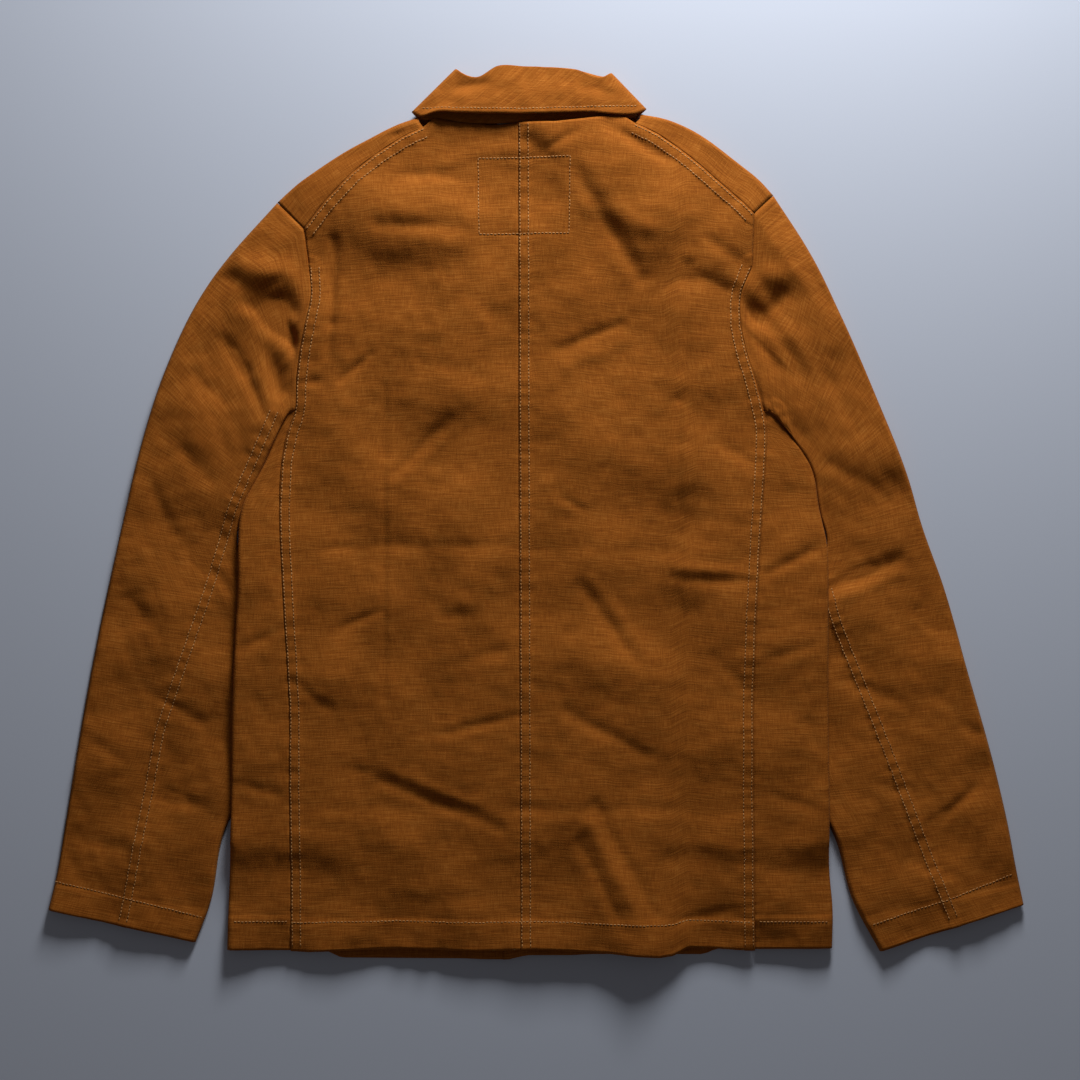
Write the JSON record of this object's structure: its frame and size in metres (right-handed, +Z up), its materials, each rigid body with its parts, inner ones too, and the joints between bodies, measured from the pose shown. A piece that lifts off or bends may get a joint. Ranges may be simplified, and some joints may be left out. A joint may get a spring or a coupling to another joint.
{
  "type": "chore jacket",
  "caption": "Cotton duck chore jacket laid flat on its front, back uppermost, sleeves spread beside the body, short turned-down collar.",
  "frame": {"origin": "on the surface the jacket lies on, under the middle of its outline", "axes": "+X towards the wearer's right sleeve, +Y towards the collar, +Z up, from the front that lies down to the back that shows"},
  "size_m": [0.86, 0.7838, 0.0148],
  "materials": {
    "duck": "matt canvas",
    "button": "satin"
  },
  "bodies": {
    "root": {"back_left": "duck", "back_right": "duck", "front_left": "duck", "front_right": "duck", "sleeve_left": "duck", "sleeve_right": "duck", "collar": "duck", "hip_pocket_left": "duck", "hip_pocket_right": "duck", "chest_pocket": "duck", "button_1": "button", "button_2": "button", "button_3": "button", "button_4": "button", "button_5": "button"}
  },
  "joints": []
}
